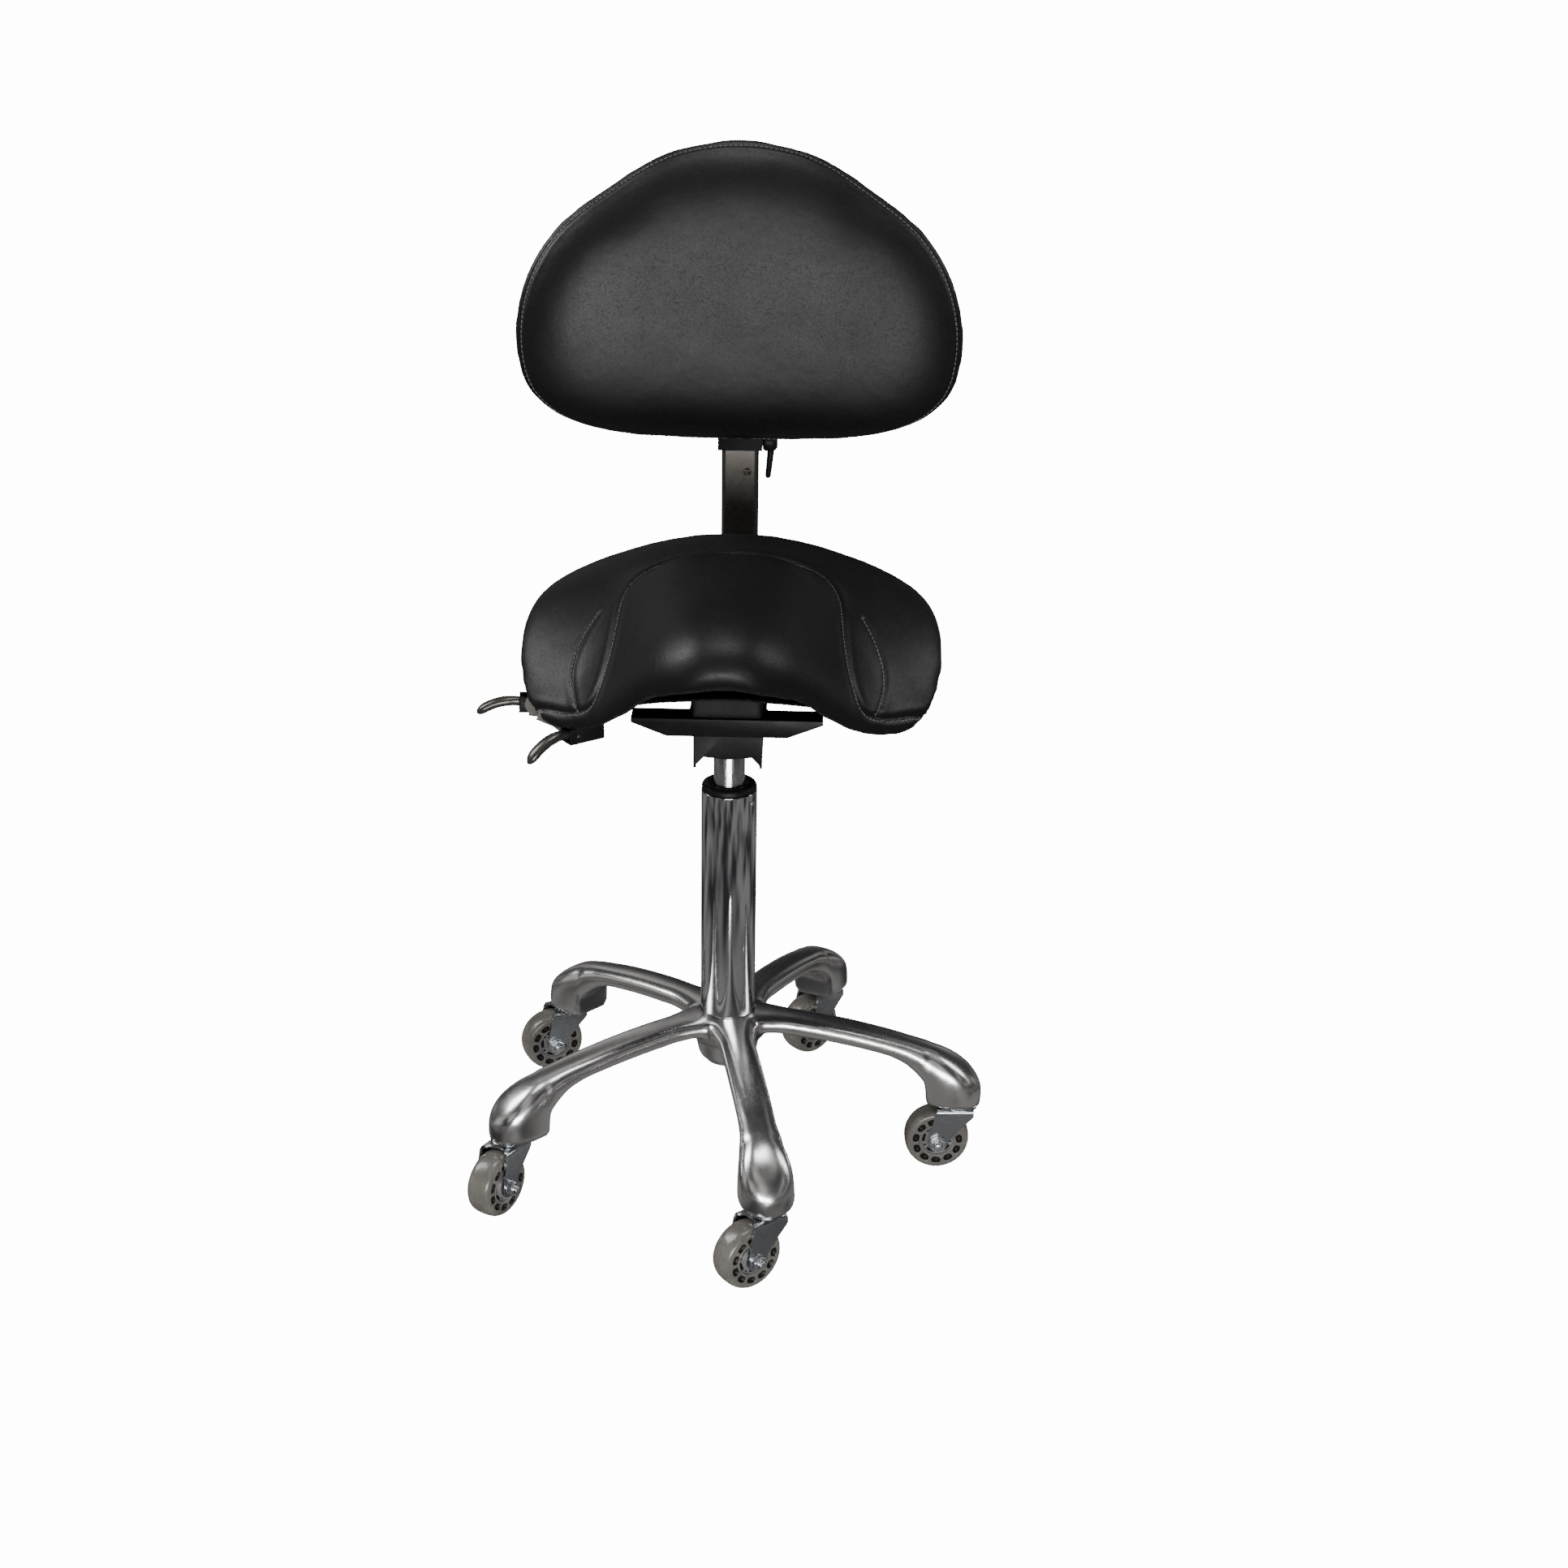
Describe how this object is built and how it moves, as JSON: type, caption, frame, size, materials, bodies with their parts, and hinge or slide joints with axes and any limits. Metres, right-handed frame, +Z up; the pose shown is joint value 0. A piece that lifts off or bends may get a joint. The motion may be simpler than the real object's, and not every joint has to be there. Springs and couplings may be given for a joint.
{
  "type": "dentist stool",
  "caption": "Saddle stool with a tilting padded seat, height-adjustable padded backrest, gas column and five-star base on swivel casters.",
  "frame": {"origin": "on the floor under the column axis", "axes": "+Z up along the column, -Y the way the sitter faces, +X the sitter's left"},
  "size_m": [0.4649, 0.5066, 0.907],
  "materials": {
    "black_leather": "fine-grained black upholstery leather, satin",
    "black_shell": "moulded black shell, matte",
    "polished_aluminium": "polished die casting",
    "chrome": "chrome-plated steel tube",
    "zinc_plate": "bright zinc plate on pressed steel",
    "plain_steel": "plain turned steel",
    "black_paint": "black powder coat",
    "dark_bronze": "dark bronze satin coat",
    "black_plastic": "black moulded plastic",
    "soft_tyre": "smoky beige polyurethane, slightly glossy",
    "wheel_centre": "grey moulded wheel centre"
  },
  "bodies": {
    "base": {"star_base": "polished_aluminium", "column_tube": "chrome", "guide_bush": "black_plastic", "thrust_bearing": "plain_steel", "caster_stem_1": "zinc_plate", "caster_stem_2": "zinc_plate", "caster_stem_3": "zinc_plate", "caster_stem_4": "zinc_plate", "caster_stem_5": "zinc_plate"},
    "spring_rod": {"piston_rod": "plain_steel", "retaining_clip": "plain_steel"},
    "lift": {"gas_cylinder": "chrome", "column_socket": "plain_steel", "tilt_housing": "black_paint", "tilt_pin": "plain_steel", "release_arm_pin": "plain_steel"},
    "release_button": {"release_pin": "plain_steel"},
    "release_rocker": {"release_arm": "plain_steel"},
    "seat": {"seat_frame": "black_paint", "seat_shell": "black_shell", "seat_cushion": "black_leather", "height_lever_mount": "black_plastic", "height_lever_pin": "plain_steel", "tilt_lever_mount": "black_plastic", "tilt_lever_pin": "plain_steel", "back_bar": "dark_bronze", "bar_stop_screw": "dark_bronze"},
    "height_paddle": {"height_lever": "dark_bronze"},
    "tilt_paddle": {"tilt_lever": "dark_bronze"},
    "back": {"back_carriage": "black_paint", "back_shell": "black_shell", "back_cushion": "black_leather", "clamp_stud": "plain_steel"},
    "clamp_handle": {"clamp_lever": "black_plastic"},
    "caster_1": {"caster_fork_1": "zinc_plate", "axle_bolt_1": "zinc_plate", "axle_nut_1": "zinc_plate"},
    "wheel_1": {"tyre_1": "soft_tyre", "wheel_core_1": "wheel_centre"},
    "caster_2": {"caster_fork_2": "zinc_plate", "axle_bolt_2": "zinc_plate", "axle_nut_2": "zinc_plate"},
    "wheel_2": {"tyre_2": "soft_tyre", "wheel_core_2": "wheel_centre"},
    "caster_3": {"caster_fork_3": "zinc_plate", "axle_bolt_3": "zinc_plate", "axle_nut_3": "zinc_plate"},
    "wheel_3": {"tyre_3": "soft_tyre", "wheel_core_3": "wheel_centre"},
    "caster_4": {"caster_fork_4": "zinc_plate", "axle_bolt_4": "zinc_plate", "axle_nut_4": "zinc_plate"},
    "wheel_4": {"tyre_4": "soft_tyre", "wheel_core_4": "wheel_centre"},
    "caster_5": {"caster_fork_5": "zinc_plate", "axle_bolt_5": "zinc_plate", "axle_nut_5": "zinc_plate"},
    "wheel_5": {"tyre_5": "soft_tyre", "wheel_core_5": "wheel_centre"}
  },
  "joints": [
    {"name": "seat_turn", "type": "hinge", "parent": "base", "child": "spring_rod", "pos_m": [0, 0, 0.1], "axis": [0, 0, 1], "continuous": true},
    {"name": "seat_lift", "type": "slide", "parent": "spring_rod", "child": "lift", "axis": [0, 0, 1], "range_m": [0, 0.13]},
    {"name": "release_push", "type": "slide", "parent": "lift", "child": "release_button", "axis": [0, 0, -1], "range_m": [0, 0.003]},
    {"name": "release_rock", "type": "hinge", "parent": "lift", "child": "release_rocker", "pos_m": [0, 0.031, 0.4485], "axis": [1, 0, 0], "range_deg": [0, 5.57]},
    {"name": "seat_tilt", "type": "hinge", "parent": "lift", "child": "seat", "pos_m": [0, -0.025, 0.448], "axis": [1, 0, 0], "range_deg": [-4, 12]},
    {"name": "height_lever_lift", "type": "hinge", "parent": "seat", "child": "height_paddle", "pos_m": [-0.1805, 0.026, 0.43421], "axis": [-0.0698, 0.9976, 0], "range_deg": [0, 10], "stiffness_Nm_per_rad": 0.3},
    {"name": "tilt_lever_lift", "type": "hinge", "parent": "seat", "child": "tilt_paddle", "pos_m": [-0.133, -0.046, 0.43389], "axis": [-0.5878, 0.809, 0], "range_deg": [0, 10], "stiffness_Nm_per_rad": 0.3},
    {"name": "back_height", "type": "slide", "parent": "seat", "child": "back", "axis": [0, 0, 1], "range_m": [-0.015, 0.06]},
    {"name": "clamp_turn", "type": "hinge", "parent": "back", "child": "clamp_handle", "pos_m": [0, 0.24, 0.619], "axis": [1, 0, 0], "range_deg": [0, 100]},
    {"name": "caster_swivel_1", "type": "hinge", "parent": "base", "child": "caster_1", "pos_m": [0.04263, -0.21532, 0.0661], "axis": [0, 0, 1], "continuous": true},
    {"name": "wheel_roll_1", "type": "hinge", "parent": "caster_1", "child": "wheel_1", "pos_m": [0.02546, -0.22826, 0.03], "axis": [0.6018, -0.7986, 0], "continuous": true},
    {"name": "caster_swivel_2", "type": "hinge", "parent": "base", "child": "caster_2", "pos_m": [0.21796, -0.02599, 0.0661], "axis": [0, 0, 1], "continuous": true},
    {"name": "wheel_roll_2", "type": "hinge", "parent": "caster_2", "child": "wheel_2", "pos_m": [0.19648, -0.02712, 0.03], "axis": [0.0523, -0.9986, 0], "continuous": true},
    {"name": "caster_swivel_3", "type": "hinge", "parent": "base", "child": "caster_3", "pos_m": [0.09207, 0.19926, 0.0661], "axis": [0, 0, 1], "continuous": true},
    {"name": "wheel_roll_3", "type": "hinge", "parent": "caster_3", "child": "wheel_3", "pos_m": [0.07609, 0.18487, 0.03], "axis": [0.6691, -0.7431, 0], "continuous": true},
    {"name": "caster_swivel_4", "type": "hinge", "parent": "base", "child": "caster_4", "pos_m": [-0.16105, 0.14914, 0.0661], "axis": [0, 0, 1], "continuous": true},
    {"name": "wheel_roll_4", "type": "hinge", "parent": "caster_4", "child": "wheel_4", "pos_m": [-0.18069, 0.14039, 0.03], "axis": [0.4067, -0.9135, 0], "continuous": true},
    {"name": "caster_swivel_5", "type": "hinge", "parent": "base", "child": "caster_5", "pos_m": [-0.19161, -0.10708, 0.0661], "axis": [0, 0, 1], "continuous": true},
    {"name": "wheel_roll_5", "type": "hinge", "parent": "caster_5", "child": "wheel_5", "pos_m": [-0.20268, -0.12551, 0.03], "axis": [0.8572, -0.515, 0], "continuous": true}
  ],
  "couplings": [
    {"joint": "release_rock", "follows": "height_lever_lift", "ratio": 0.55534},
    {"joint": "release_push", "follows": "height_lever_lift", "m_per_rad": 0.01718}
  ]
}
